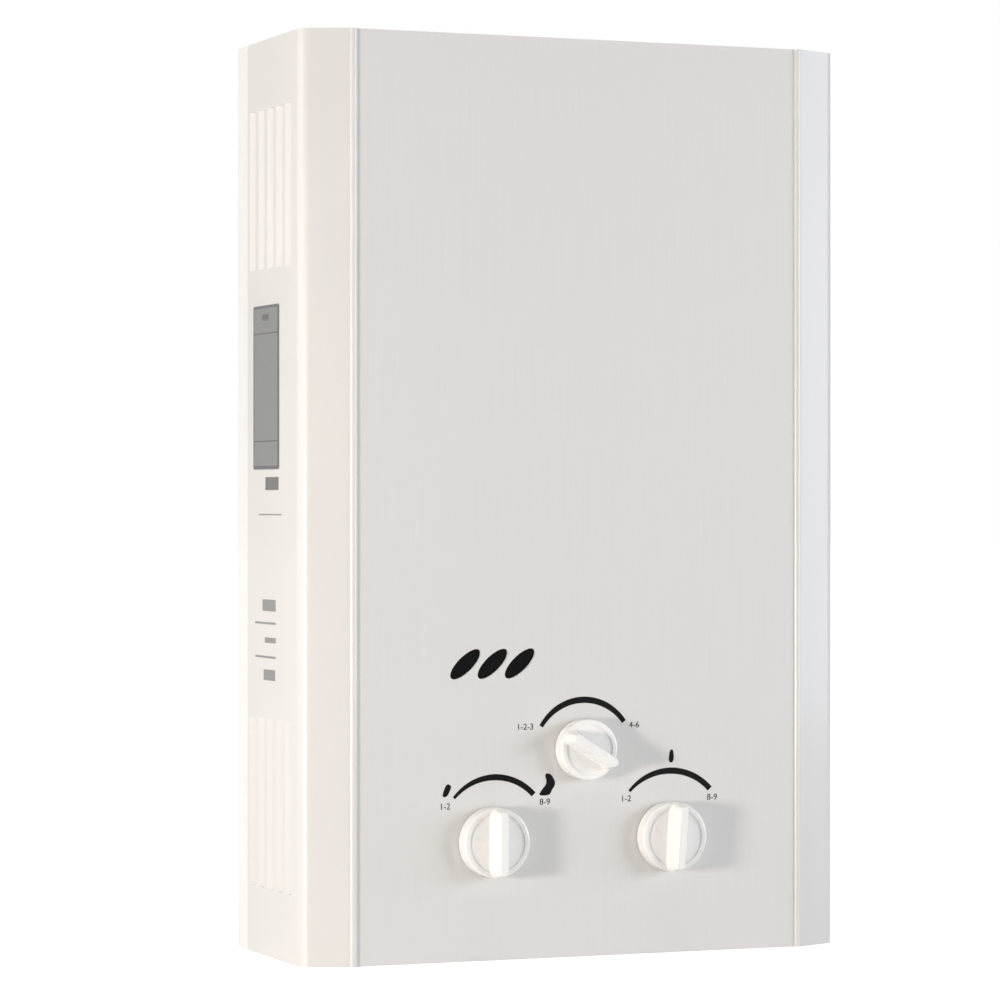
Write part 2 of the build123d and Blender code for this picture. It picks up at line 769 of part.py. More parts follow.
# Threaded nipples, each with a hexagon clamped under the bottom plate.
nipples = [
    ("gas_inlet_nipple", gas_inlet_x, nipple_grip),
    ("water_inlet_nipple", cold_inlet_x, inlet_grip),
    ("hot_outlet_nipple", hot_x, nipple_grip),
]
for nipple_name, nipple_x, grip in nipples:
    with BuildPart() as nipple:
        with BuildSketch(level(nipple_end)):
            with Locations((nipple_x, rod_y)):
                Circle(nipple_radius)
        extrude(amount=plate_top + grip - nipple_end)
        with BuildSketch(level(plate_height)):
            with Locations((nipple_x, rod_y)):
                RegularPolygon(nipple_hex / 2, 6, major_radius=False)
        extrude(amount=-nipple_collar)
        with BuildSketch(level(nipple_end)):
            with Locations((nipple_x, rod_y)):
                Circle(nipple_bore)
        extrude(amount=plate_top + grip - nipple_end, mode=Mode.SUBTRACT)
    nipple.part.label = nipple_name
    export_step(nipple.part, f"parts/{nipple_name}.step")

# Strainer cup in the cold inlet.
filter_height = 22.0
filter_base = nipple_end + 6.0

with BuildPart() as inlet_filter:
    with BuildSketch(level(filter_base)):
        with Locations((cold_inlet_x, rod_y)):
            Circle(nipple_bore - seat_gap)
    extrude(amount=1.5)
    with BuildSketch(level(filter_base)):
        with Locations((cold_inlet_x, rod_y)):
            Circle(nipple_bore - 1.5)
    extrude(amount=filter_height)
    with BuildSketch(level(filter_base)):
        with Locations((cold_inlet_x, rod_y)):
            Circle(nipple_bore - 2.5)
    extrude(amount=filter_height - 1.0, mode=Mode.SUBTRACT)
inlet_filter.part.label = "inlet_filter"
export_step(inlet_filter.part, "parts/inlet_filter.step")

# Drain and relief plug under the water valve.
relief_cap_radius = 7.5
relief_cap_height = 9.0

with BuildPart() as relief_plug:
    with BuildSketch(level(plate_height - 4.0)):
        with Locations((relief_x, relief_y)):
            Circle(relief_radius)
    extrude(amount=plate_sheet + 4.0 + relief_boss)
    with BuildSketch(level(plate_height - 4.0)):
        with Locations((relief_x, relief_y)):
            Circle(relief_cap_radius)
            with PolarLocations(relief_cap_radius, 8):
                Circle(1.2, mode=Mode.SUBTRACT)
    extrude(amount=-relief_cap_height)
relief_plug.part.label = "relief_plug"
export_step(relief_plug.part, "parts/relief_plug.step")

# ---------------------------------------------------------------- water pipes

coil_x = core_half_width + tube_radius + coil_gap
coil_half_depth = core_half_depth + tube_radius + coil_gap
coil_y_front = core_y - coil_half_depth
coil_y_back = core_y + coil_half_depth
coil_start_z = chamber_base + coil_rise
coil_front_z = coil_start_z + first_rise
coil_left_z = coil_front_z + long_rise
coil_back_z = coil_left_z + side_rise
cold_run_z = burner_base - 14.0
union_x = water_barrel_right + 4.0
pass_z = chamber_top + exchanger_height / 2
bend_x = core_half_width + bend_radius + 3.0
coil_riser_x = bend_x + 1.0
hot_union_z = pass_z - hot_drop
pipe_wall = 1.0
pass_ys = [core_y + ((pass_count - 1) / 2 - i) * pass_pitch for i in range(pass_count)]
first_pass_y = pass_ys[0]
last_pass_y = pass_ys[-1]

pass_points = []
for i, pass_y in enumerate(pass_ys):
    heading = 1 if i % 2 == 0 else -1
    pass_points.append((heading * bend_x, pass_y, pass_z))
    pass_points.append((-heading * bend_x, pass_y, pass_z))
pass_points[0] = (coil_riser_x, first_pass_y, pass_z)
pass_points[-1] = (hot_x, last_pass_y, pass_z)

# One copper tube: once round the chamber, up the back, through the fins and out on the left.
with BuildPart() as exchanger_tube:
    with BuildLine() as tube_route:
        FilletPolyline(
            (union_x, outlet_y, cold_run_z),
            (coil_x, outlet_y, cold_run_z),
            (coil_x, outlet_y, coil_start_z),
            (coil_x, coil_y_front, coil_front_z),
            (-coil_x, coil_y_front, coil_left_z),
            (-coil_x, coil_y_back, coil_back_z),
            (coil_riser_x, coil_y_back, coil_back_z + long_rise),
            (coil_riser_x, coil_y_back, pass_z),
            *pass_points,
            (hot_x, last_pass_y, hot_union_z),
            radius=bend_radius,
        )
    with BuildSketch(across(union_x)):
        with Locations((outlet_y, cold_run_z)):
            Circle(tube_radius)
            Circle(tube_radius - pipe_wall, mode=Mode.SUBTRACT)
    sweep(path=tube_route.wires()[0])
exchanger_tube.part.label = "exchanger_tube"
export_step(exchanger_tube.part, "parts/exchanger_tube.step")

with BuildPart() as cold_pipe:
    with BuildLine() as cold_route:
        FilletPolyline(
            (outlet_x, outlet_y, outlet_top_z),
            (outlet_x, outlet_y, cold_run_z),
            (union_x, outlet_y, cold_run_z),
            radius=bend_radius,
        )
    with BuildSketch(level(outlet_top_z)):
        with Locations((outlet_x, outlet_y)):
            Circle(tube_radius)
            Circle(tube_radius - pipe_wall, mode=Mode.SUBTRACT)
    sweep(path=cold_route.wires()[0])
cold_pipe.part.label = "cold_pipe"
export_step(cold_pipe.part, "parts/cold_pipe.step")

hot_seat_z = plate_top + nipple_grip - 4.0

with BuildPart() as hot_pipe:
    with BuildLine() as hot_route:
        FilletPolyline(
            (hot_x, last_pass_y, hot_union_z),
            (hot_x, last_pass_y, season_knob_z),
            (hot_x, rod_y, season_knob_z - (rod_y - last_pass_y)),
            (hot_x, rod_y, hot_seat_z),
            radius=2 * bend_radius,
        )
    with BuildSketch(level(hot_union_z)):
        with Locations((hot_x, last_pass_y)):
            Circle(tube_radius)
            Circle(tube_radius - pipe_wall, mode=Mode.SUBTRACT)
    sweep(path=hot_route.wires()[0])
hot_pipe.part.label = "hot_pipe"
export_step(hot_pipe.part, "parts/hot_pipe.step")

# Union nuts where the pipes meet the water valve, the exchanger tube and the hot nipple.
nut_height = 12.0
nut_hex = 20.0
nut_places = [
    (outlet_x, outlet_y, outlet_top_z),
    (hot_x, last_pass_y, hot_union_z - nut_height / 2),
]
hot_nut_height = nipple_grip + 7.0

with BuildPart() as pipe_nuts:
    for nut_x, nut_y, nut_z in nut_places:
        with BuildSketch(level(nut_z)):
            with Locations((nut_x, nut_y)):
                RegularPolygon(nut_hex / 2, 6, major_radius=False)
                Circle(tube_radius + seat_gap, mode=Mode.SUBTRACT)
        extrude(amount=nut_height)
    with BuildSketch(across(union_x - nut_height / 2)):
        with Locations((outlet_y, cold_run_z)):
            RegularPolygon(nut_hex / 2, 6, major_radius=False)
            Circle(tube_radius + seat_gap, mode=Mode.SUBTRACT)
    extrude(amount=nut_height)
    with BuildSketch(level(plate_top)):
        with Locations((hot_x, rod_y)):
            RegularPolygon(nipple_hex / 2, 6, major_radius=False)
            Circle(tube_radius + seat_gap, mode=Mode.SUBTRACT)
    extrude(amount=hot_nut_height)
    with BuildSketch(level(plate_top)):
        with Locations((hot_x, rod_y)):
            Circle(nipple_radius + seat_gap)
    extrude(amount=nipple_grip, mode=Mode.SUBTRACT)
pipe_nuts.part.label = "pipe_nuts"
export_step(pipe_nuts.part, "parts/pipe_nuts.step")

# ---------------------------------------------------------------- burner

frame_sheet = 1.0
frame_rail = 2.0
rail_depth = 8.0
manifold_half = 4.0
manifold_height = 12.0
manifold_front_y = riser_y - manifold_half
throat_z = burner_base + 7.0
throat_radius = 5.0
throat_bore = 3.5
throat_length = 3.0
injector_length = 3.0
injector_radius = 2.5
frame_inner = core_half_width - frame_sheet
slot_count = 6

with BuildPart() as burner_frame:
    with BuildSketch(across(-core_half_width)):
        Polygon(
            (core_y - core_half_depth, chamber_base),
            (core_y - core_half_depth, throat_z + manifold_height),
            (manifold_front_y, throat_z + manifold_height),
            (manifold_front_y, burner_base - frame_rail),
            (core_y + core_half_depth, burner_base - frame_rail),
            (core_y + core_half_depth, chamber_base),
            align=None,
        )
    extrude(amount=frame_sheet)
    mirror(about=Plane.YZ)
    with BuildSketch(facing(core_y + core_half_depth)):
        with Locations((0, (burner_base - frame_rail + chamber_base) / 2)):
            Rectangle(2 * frame_inner, chamber_base - burner_base + frame_rail)
    extrude(amount=frame_sheet)
    with BuildSketch(level(burner_base - frame_rail)):
        with Locations((0, core_y - bar_length / 4), (0, core_y + bar_length / 4)):
            Rectangle(2 * frame_inner, rail_depth)
    extrude(amount=frame_rail)
burner_frame.part.label = "burner_frame"
export_step(burner_frame.part, "parts/burner_frame.step")

# Burner bars: tapered, with a throat in front and flame slots on top.
with BuildPart() as burner_bars:
    with BuildSketch(facing(core_y + bar_length / 2)):
        with GridLocations(bar_pitch, 0, bar_count, 1):
            Polygon(
                (-bar_foot_width / 2, burner_base),
                (bar_foot_width / 2, burner_base),
                (bar_top_width / 2, burner_base + bar_height * 0.6),
                (bar_top_width / 2, burner_base + bar_height - 3.0),
                (bar_top_width / 4, burner_base + bar_height - 1.0),
                (-bar_top_width / 4, burner_base + bar_height - 1.0),
                (-bar_top_width / 2, burner_base + bar_height - 3.0),
                (-bar_top_width / 2, burner_base + bar_height * 0.6),
                align=None,
            )
    extrude(amount=bar_length)
    with BuildSketch(facing(bar_front_y + throat_length)):
        with Locations((0, throat_z)):
            with GridLocations(bar_pitch, 0, bar_count, 1):
                Circle(throat_radius)
    extrude(amount=2 * throat_length)
    with BuildSketch(facing(bar_front_y - throat_length)):
        with Locations((0, throat_z)):
            with GridLocations(bar_pitch, 0, bar_count, 1):
                Circle(throat_bore)
    extrude(amount=-bar_length / 4, mode=Mode.SUBTRACT)
    with BuildSketch(level(burner_base + bar_height)):
        with Locations((0, core_y)):
            with GridLocations(bar_pitch, bar_length / slot_count, bar_count, slot_count):
                Rectangle(bar_top_width / 2, 1.2)
    extrude(amount=-4.0, mode=Mode.SUBTRACT)
burner_bars.part.label = "burner_bars"
export_step(burner_bars.part, "parts/burner_bars.step")

# Gas manifold with one injector for each bar.
with BuildPart() as gas_manifold:
    with BuildSketch(level(manifold_base_z)):
        with Locations((0, riser_y)):
            Rectangle(2 * frame_inner, 2 * manifold_half)
    extrude(amount=manifold_height)
    with BuildSketch(facing(riser_y + manifold_half)):
        with Locations((0, throat_z)):
            with GridLocations(bar_pitch, 0, bar_count, 1):
                Circle(injector_radius / 2 + seat_gap)
    extrude(amount=manifold_half, mode=Mode.SUBTRACT)
gas_manifold.part.label = "gas_manifold"
export_step(gas_manifold.part, "parts/gas_manifold.step")

with BuildPart() as injectors:
    with BuildSketch(facing(riser_y + manifold_half)):
        with Locations((0, throat_z)):
            with GridLocations(bar_pitch, 0, bar_count, 1):
                RegularPolygon(injector_radius, 6)
    extrude(amount=-injector_length)
    with BuildSketch(facing(riser_y + manifold_half)):
        with Locations((0, throat_z)):
            with GridLocations(bar_pitch, 0, bar_count, 1):
                Circle(injector_radius / 2)
    extrude(amount=manifold_half - seat_gap)
injectors.part.label = "injectors"
export_step(injectors.part, "parts/injectors.step")

# ---------------------------------------------------------------- combustion chamber and exchanger

core_corner = 4.0
core_sheet = 0.8
notch_height = 18.0
sight_notch_x = sight_x
sight_notch_width = 68.0
probe_x = 42.0
probe_pitch = 12.0
probe_count = 3
probe_notch_width = (probe_count - 1) * probe_pitch + 14.0

with BuildPart() as combustion_chamber:
    with BuildSketch(level(chamber_base)):
        with Locations((0, core_y)):
            RectangleRounded(2 * core_half_width, 2 * core_half_depth, core_corner)
            offset(amount=-core_sheet, mode=Mode.SUBTRACT)
    extrude(amount=chamber_height)
    with BuildSketch(facing(core_y - core_half_depth + 2 * core_sheet)):
        with Locations((sight_notch_x, chamber_base + notch_height / 2)):
            Rectangle(sight_notch_width, notch_height)
        with Locations((probe_x, chamber_base + notch_height / 2)):
            Rectangle(probe_notch_width, notch_height)
    extrude(amount=3 * core_sheet, mode=Mode.SUBTRACT)
combustion_chamber.part.label = "combustion_chamber"
export_step(combustion_chamber.part, "parts/combustion_chamber.step")

with BuildPart() as exchanger_shell:
    with BuildSketch(level(chamber_top)):
        with Locations((0, core_y)):
            RectangleRounded(2 * core_half_width, 2 * core_half_depth, core_corner)
            offset(amount=-core_sheet, mode=Mode.SUBTRACT)
    extrude(amount=exchanger_height)
    with BuildSketch(across(-core_half_width - 1.0)):
        with Locations(*[(y, pass_z) for y in pass_ys]):
            Circle(tube_radius + seat_gap)
    extrude(amount=2 * core_half_width + 2.0, mode=Mode.SUBTRACT)
exchanger_shell.part.label = "exchanger_shell"
export_step(exchanger_shell.part, "parts/exchanger_shell.step")

# Fin pack: thin upright fins on a band that carries the tubes.
fin_depth = 2 * (core_half_depth - core_sheet - seat_gap)
fin_height = exchanger_height - 8.0
band_height = 2 * tube_radius + 6.0

with BuildPart() as exchanger_fins:
    with BuildSketch(level(pass_z - fin_height / 2)):
        with Locations((0, core_y)):
            with GridLocations(fin_pitch, 0, fin_count, 1):
                Rectangle(fin_thickness, fin_depth)
    extrude(amount=fin_height)
    with BuildSketch(level(pass_z - band_height / 2)):
        with Locations((0, core_y)):
            Rectangle((fin_count - 1) * fin_pitch, fin_depth)
    extrude(amount=band_height)
    with BuildSketch(across(-core_half_width)):
        with Locations(*[(y, pass_z) for y in pass_ys]):
            Circle(tube_radius + seat_gap)
    extrude(amount=2 * core_half_width, mode=Mode.SUBTRACT)
exchanger_fins.part.label = "exchanger_fins"
export_step(exchanger_fins.part, "parts/exchanger_fins.step")

# Hat-section brackets that hold the burner and the chamber on the back tray.
bracket_half_width = 60.0
bracket_half_height = 8.0
bracket_sheet = 1.2
bracket_foot = 7.0
bracket_burner_rise = 11.0
bracket_foot_rise = 22.0
bracket_top_drop = 14.0
bracket_zs = [
    burner_base + bracket_burner_rise,
    chamber_base + bracket_foot_rise,
    chamber_top - bracket_top_drop,
]
bracket_front_y = core_y + core_half_depth
bracket_depth = tray_floor_y - bracket_front_y

with BuildPart() as chamber_brackets:
    for bracket_z in bracket_zs:
        with BuildSketch(across(-bracket_half_width)):
            with Locations(((bracket_front_y + tray_floor_y) / 2, bracket_z)):
                Rectangle(bracket_depth, 2 * bracket_half_height)
            with Locations((bracket_front_y + bracket_sheet + bracket_depth / 2, bracket_z)):
                Rectangle(bracket_depth, 2 * (bracket_half_height - bracket_sheet), mode=Mode.SUBTRACT)
            with Locations((tray_floor_y - bracket_sheet / 2, bracket_z)):
                with GridLocations(0, 2 * bracket_half_height + bracket_foot, 1, 2):
                    Rectangle(bracket_sheet, bracket_foot)
        extrude(amount=2 * bracket_half_width)
chamber_brackets.part.label = "chamber_brackets"
export_step(chamber_brackets.part, "parts/chamber_brackets.step")

# ---------------------------------------------------------------- flue

# Folded hood from the exchanger up to a square plate under the flue socket.
hood_sheet = 0.8
hood_top_z = body_height - collar_length
collar_flange = 3.0
hood_plate_half = collar_radius + collar_flange + clear_gap
hood_lip = 2.0  # the plate's hole is this much smaller than the bore

with BuildPart() as flue_hood:
    with BuildSketch(level(exchanger_top)):
        with Locations((0, core_y)):
            Rectangle(2 * core_half_width, 2 * core_half_depth)
    with BuildSketch(level(hood_top_z)):
        with Locations((0, core_y)):
            Rectangle(2 * hood_plate_half, 2 * hood_plate_half)
    loft(ruled=True)
    with BuildSketch(level(exchanger_top)):
        with Locations((0, core_y)):
            Rectangle(2 * (core_half_width - hood_sheet), 2 * (core_half_depth - hood_sheet))
    with BuildSketch(level(hood_top_z - hood_sheet)):
        with Locations((0, core_y)):
            Rectangle(2 * (hood_plate_half - hood_sheet), 2 * (hood_plate_half - hood_sheet))
    loft(ruled=True, mode=Mode.SUBTRACT)
    with BuildSketch(level(hood_top_z)):
        with Locations((0, core_y)):
            Circle(flue_bore - hood_lip)
    extrude(amount=-2 * hood_sheet, mode=Mode.SUBTRACT)
flue_hood.part.label = "flue_hood"
export_step(flue_hood.part, "parts/flue_hood.step")

# Round flue socket, flush with the top of the case.
with BuildPart() as flue_collar:
    with BuildSketch(level(hood_top_z)):
        with Locations((0, core_y)):
            Circle(collar_radius + collar_flange)
    extrude(amount=hood_sheet)
    with BuildSketch(level(hood_top_z)):
        with Locations((0, core_y)):
            Circle(collar_radius)
    extrude(amount=collar_length)
    with BuildSketch(level(hood_top_z)):
        with Locations((0, core_y)):
            Circle(flue_bore)
    extrude(amount=collar_length, mode=Mode.SUBTRACT)
flue_collar.part.label = "flue_collar"
export_step(flue_collar.part, "parts/flue_collar.step")

# ---------------------------------------------------------------- knobs and spindles

knob_base_y = panel_y - knob_gap
grip_height = knob_base_y - (ridge_y - knob_reach) - skirt_height
grip_taper = 12.0
hub_length = skirt_height - skirt_wall
grip_overhang = 0.4
clip_thickness = 0.9
clip_width = 3.0
flat_length = spindle_grip + 2.0
knobs = [
    ("gas", -knob_x, lower_knob_z, lower_knob_diameter, 0.0, spindle_seat_y),
    ("water", knob_x, lower_knob_z, lower_knob_diameter, -4.0, water_seat_y),
    ("season", season_knob_x, season_knob_z, season_knob_diameter, 58.0, season_y),
]

for knob_name, centre_x, centre_z, diameter, turn, seat_y in knobs:
    # The knob's own plane: its z runs forward out of the panel and its y along the grip.
    base = Plane(
        origin=(centre_x, knob_base_y, centre_z),
        x_dir=(cos(radians(turn)), 0, sin(radians(turn))),
        z_dir=(0, -1, 0),
    )
    knob_radius = diameter / 2
    with BuildPart() as knob:
        with BuildSketch(base):
            Circle(knob_radius)
        extrude(amount=skirt_height)
        fillet(knob.edges().sort_by(Axis.Y)[0], radius=1.2)
        with BuildSketch(base.offset(skirt_height)):
            Circle(knob_radius - rim_ring)
        extrude(amount=-rim_step, mode=Mode.SUBTRACT)
        with BuildSketch(base.offset(skirt_height - rim_step)):
            SlotOverall(diameter + 2 * grip_overhang, grip_root_width, rotation=90)
        extrude(amount=grip_height + rim_step, taper=grip_taper)
        fillet(knob.faces().sort_by(Axis.Y)[0].edges(), radius=0.7)
        with BuildSketch(base):
            Circle(knob_radius - skirt_wall)
            Circle(hub_radius, mode=Mode.SUBTRACT)
        extrude(amount=hub_length, mode=Mode.SUBTRACT)
        with BuildSketch(base):
            Circle(spindle_radius + seat_gap)
            with Locations((0, -spindle_flat - spindle_radius - seat_gap)):
                Rectangle(2 * diameter, 2 * spindle_radius, mode=Mode.SUBTRACT)
        extrude(amount=spindle_grip + clear_gap, mode=Mode.SUBTRACT)
    knob.part.label = f"{knob_name}_knob"
    export_step(knob.part, f"parts/{knob_name}_knob.step")

    with BuildPart() as spindle:
        with BuildSketch(base.offset(spindle_grip)):
            Circle(spindle_radius)
        extrude(amount=-(seat_y - clear_gap - knob_base_y + spindle_grip))
        with BuildSketch(base.offset(spindle_grip)):
            with Locations((0, -spindle_flat - spindle_radius)):
                Rectangle(2 * diameter, 2 * spindle_radius)
        extrude(amount=-flat_length, mode=Mode.SUBTRACT)
    spindle.part.label = f"{knob_name}_spindle"
    export_step(spindle.part, f"parts/{knob_name}_spindle.step")

    # Spring clip that squeezes the hub on the spindle.
    with BuildPart() as clip:
        with BuildSketch(base.offset(hub_length / 2)):
            Circle(hub_radius + seat_gap + clip_thickness)
            Circle(hub_radius + seat_gap, mode=Mode.SUBTRACT)
            with Locations((0, hub_radius)):
                Rectangle(hub_radius, hub_radius, mode=Mode.SUBTRACT)
        extrude(amount=clip_width)
    clip.part.label = f"{knob_name}_knob_clip"
    export_step(clip.part, f"parts/{knob_name}_knob_clip.step")

# ---------------------------------------------------------------- batteries

box_top_z = plate_top + box_height
cell_pitch = 2 * cell_radius + cell_gap
cell_nub_radius = 4.5
cell_nub_height = 1.5

with BuildPart() as battery_box:
    with BuildSketch(level(plate_top)):
        with Locations((box_x, box_y)):
            RectangleRounded(box_width, box_depth, 3.0)
    extrude(amount=box_height)
    with BuildSketch(level(plate_top)):
        with Locations((box_x, box_y)):
            Rectangle(box_inner_width, box_inner_depth)
    extrude(amount=box_height - box_wall, mode=Mode.SUBTRACT)
battery_box.part.label = "battery_box"
export_step(battery_box.part, "parts/battery_box.step")

# Two D cells, one each way up.
with BuildPart() as batteries:
    for cell_x, base_nub in ((box_x - cell_pitch / 2, 0.0), (box_x + cell_pitch / 2, cell_nub_height)):
        with BuildSketch(level(plate_top + base_nub)):
            with Locations((cell_x, box_y)):
                Circle(cell_radius)
        extrude(amount=cell_length - cell_nub_height)
        with BuildSketch(level(plate_top)):
            with Locations((cell_x, box_y)):
                Circle(cell_nub_radius)
        extrude(amount=cell_length)
batteries.part.label = "batteries"
export_step(batteries.part, "parts/batteries.step")

# Contact strip over the cells, with two spring cones.
contact_sheet = 0.5
contact_width = 9.0
contact_length = cell_pitch + contact_width
contact_top_z = box_top_z - box_wall
cone_height = contact_top_z - contact_sheet - plate_top - cell_length

with BuildPart() as battery_contacts:
    with BuildSketch(level(contact_top_z)):
        with Locations((box_x, box_y)):
            SlotOverall(contact_length, contact_width)
    extrude(amount=-contact_sheet)
    with Locations((box_x, box_y, contact_top_z - contact_sheet - cone_height / 2)):
        with GridLocations(cell_pitch, 0, 2, 1):
            Cone(cell_nub_radius - 2.0, cell_nub_radius, cone_height)
battery_contacts.part.label = "battery_contacts"
export_step(battery_contacts.part, "parts/battery_contacts.step")

# Battery door under the bottom plate, on a pin along its rear edge.
door_margin = 1.2
door_lift = 0.3  # gap between the door and the bottom plate
knuckle_radius = 2.2
pin_radius = 1.0
ear_thickness = 2.0
door_top_z = plate_height - door_lift
hinge_z = door_top_z - knuckle_radius
hinge_y = box_y + box_inner_depth / 2 + door_margin + knuckle_radius
door_half_width = box_inner_width / 2 + door_margin
door_front_y = box_y - box_inner_depth / 2 - door_margin
pull_depth = 2.5

with BuildPart() as battery_door:
    with BuildSketch(level(door_top_z)):
        with Locations((box_x, (door_front_y + hinge_y) / 2)):
            Rectangle(2 * door_half_width, hinge_y - door_front_y)
    extrude(amount=-door_thickness)
    with BuildSketch(level(door_top_z)):
        with Locations((box_x, door_front_y + pull_depth / 2)):
            Rectangle(door_half_width / 2, pull_depth)
    extrude(amount=-2 * door_thickness)
    with BuildSketch(across(box_x - door_half_width)):
        with Locations((hinge_y, hinge_z)):
            Circle(knuckle_radius)
    extrude(amount=2 * door_half_width)
    with BuildSketch(across(box_x - door_half_width)):
        with Locations((hinge_y, hinge_z)):
            Circle(pin_radius + running_gap)
    extrude(amount=2 * door_half_width, mode=Mode.SUBTRACT)
battery_door.part.label = "battery_door"
export_step(battery_door.part, "parts/battery_door.step")

ear_gap = 0.3

with BuildPart() as door_hinge:
    for side in (-1, 1):
        with BuildSketch(across(box_x + side * (door_half_width + ear_gap))):
            with Locations((hinge_y, hinge_z)):
                Circle(knuckle_radius)
            with Locations((hinge_y, (hinge_z + plate_height) / 2)):
                Rectangle(2 * knuckle_radius, plate_height - hinge_z)
        extrude(amount=side * ear_thickness)
    with BuildSketch(across(box_x - door_half_width - ear_gap - ear_thickness)):
        with Locations((hinge_y, hinge_z)):
            Circle(pin_radius)
    extrude(amount=2 * (door_half_width + ear_gap + ear_thickness))
door_hinge.part.label = "door_hinge"
export_step(door_hinge.part, "parts/door_hinge.step")

# Contact strip on the door.
with BuildPart() as door_contact:
    with BuildSketch(level(door_top_z)):
        with Locations((box_x, box_y)):
            SlotOverall(contact_length, contact_width)
    extrude(amount=contact_sheet)
    with BuildSketch(level(door_top_z)):
        with Locations((box_x, box_y)):
            with GridLocations(cell_pitch, 0, 2, 1):
                Circle(cell_nub_radius / 2)
    extrude(amount=plate_top - door_lift - door_top_z)
door_contact.part.label = "door_contact"
export_step(door_contact.part, "parts/door_contact.step")

# ---------------------------------------------------------------- switch and ignition

# Micro-switch over the linkage rod. Its lever hangs beside the trip collar.
switch_half_width = 10.0
switch_height = 15.0
pivot_height = 11.0  # lever pivot above the rod
switch_front_y = rod_y - 2.8
switch_back_y = rod_y + trip_collar_radius + 0.8
pivot_z = rod_z + pivot_height
switch_base_z = pivot_z - 2.0
lever_front_y = switch_front_y - 3.4
lever_back_y = switch_front_y - 0.3
lever_thickness = 0.8
lever_eye = 2.2

with BuildPart() as micro_switch:
    with BuildSketch(facing(switch_back_y)):
        with Locations((0, switch_base_z + switch_height / 2)):
            RectangleRounded(2 * switch_half_width, switch_height, 1.5)
    extrude(amount=switch_back_y - switch_front_y)
    with BuildSketch(facing(switch_front_y)):
        with Locations((0, pivot_z)):
            Circle(pin_radius)
    extrude(amount=switch_front_y - lever_front_y + clear_gap)
micro_switch.part.label = "micro_switch"
export_step(micro_switch.part, "parts/micro_switch.step")

with BuildPart() as switch_lever:
    with BuildSketch(facing(lever_back_y)):
        with Locations((0, pivot_z)):
            Circle(lever_eye)
        with Locations((0, (pivot_z + rod_z) / 2)):
            Rectangle(lever_thickness, pivot_z - rod_z)
        with Locations((0, pivot_z)):
            Circle(pin_radius + running_gap, mode=Mode.SUBTRACT)
    extrude(amount=lever_back_y - lever_front_y)
switch_lever.part.label = "switch_lever"
export_step(switch_lever.part, "parts/switch_lever.step")

bracket_plate = 1.0
switch_foot = 12.0

with BuildPart() as switch_bracket:
    with BuildSketch(facing(switch_back_y + bracket_plate)):
        with Locations((0, (plate_top + switch_base_z + switch_height) / 2)):
            Rectangle(2 * switch_half_width, switch_base_z + switch_height - plate_top)
    extrude(amount=bracket_plate)
    with BuildSketch(level(plate_top)):
        with Locations((0, switch_back_y + switch_foot / 2)):
            Rectangle(2 * switch_half_width, switch_foot)
    extrude(amount=bracket_plate)
switch_bracket.part.label = "switch_bracket"
export_step(switch_bracket.part, "parts/switch_bracket.step")

# Igniter box on the back tray, right of the chamber.
igniter_half_width = 20.0
igniter_depth = 26.0
igniter_height = 65.0
igniter_x = half_width - 31.0
igniter_base_z = chamber_base - 10.0
igniter_front_y = tray_floor_y - igniter_depth
igniter_middle_y = tray_floor_y - igniter_depth / 2

with BuildPart() as igniter_box:
    with BuildSketch(level(igniter_base_z)):
        with Locations((igniter_x, igniter_middle_y)):
            Rectangle(2 * igniter_half_width, igniter_depth)
    extrude(amount=igniter_height)
    fillet(igniter_box.edges().filter_by(Axis.Z).group_by(Axis.Y)[0], radius=3.0)
    with BuildSketch(facing(igniter_front_y)):
        with Locations((igniter_x + 5.0, igniter_base_z + igniter_height - 14.0)):
            Circle(8.0)
    extrude(amount=4.0)
igniter_box.part.label = "igniter_box"
export_step(igniter_box.part, "parts/igniter_box.step")

# Two spark electrodes and a flame probe through a bracket on the chamber's front wall.
probe_z = chamber_base + 8.0
probe_wall_y = core_y - core_half_depth
ceramic_radius = 2.8
ceramic_front = 10.0
ceramic_back = 5.0
wire_radius = 0.9
wire_reach = 15.0
tip_drop = 5.0
holder_gap = 7.0
holder_sheet = 1.0
holder_margin = 5.0
terminal_length = 1.5
probe_xs = [probe_x + (i - (probe_count - 1) / 2) * probe_pitch for i in range(probe_count)]

# Each one is a ceramic rod with a wire through it and a tip bent down to the burner.
with BuildPart() as electrodes:
    for wire_x in probe_xs:
        with BuildSketch(facing(probe_wall_y + ceramic_back)):
            with Locations((wire_x, probe_z)):
                Circle(ceramic_radius)
        extrude(amount=ceramic_back + ceramic_front)
        with BuildSketch(facing(probe_wall_y + wire_reach)):
            with Locations((wire_x, probe_z)):
                Circle(wire_radius)
        extrude(amount=wire_reach + ceramic_front + terminal_length)
        with BuildSketch(level(probe_z)):
            with Locations((wire_x, probe_wall_y + wire_reach - wire_radius)):
                Circle(wire_radius)
        extrude(amount=-tip_drop)
electrodes.part.label = "electrodes"
export_step(electrodes.part, "parts/electrodes.step")

holder_top_z = chamber_base + notch_height + 4.0
holder_width = (probe_count - 1) * probe_pitch + 2 * (ceramic_radius + holder_margin)

with BuildPart() as electrode_bracket:
    with BuildSketch(facing(probe_wall_y - holder_gap)):
        with Locations((probe_x, (chamber_base + holder_top_z) / 2)):
            Rectangle(holder_width, holder_top_z - chamber_base)
        with Locations(*[(x, probe_z) for x in probe_xs]):
            Circle(ceramic_radius + seat_gap, mode=Mode.SUBTRACT)
    extrude(amount=holder_sheet)
    with BuildSketch(level(holder_top_z)):
        with Locations((probe_x, probe_wall_y - holder_gap / 2)):
            Rectangle(holder_width, holder_gap)
    extrude(amount=-holder_sheet)
electrode_bracket.part.label = "electrode_bracket"
export_step(electrode_bracket.part, "parts/electrode_bracket.step")

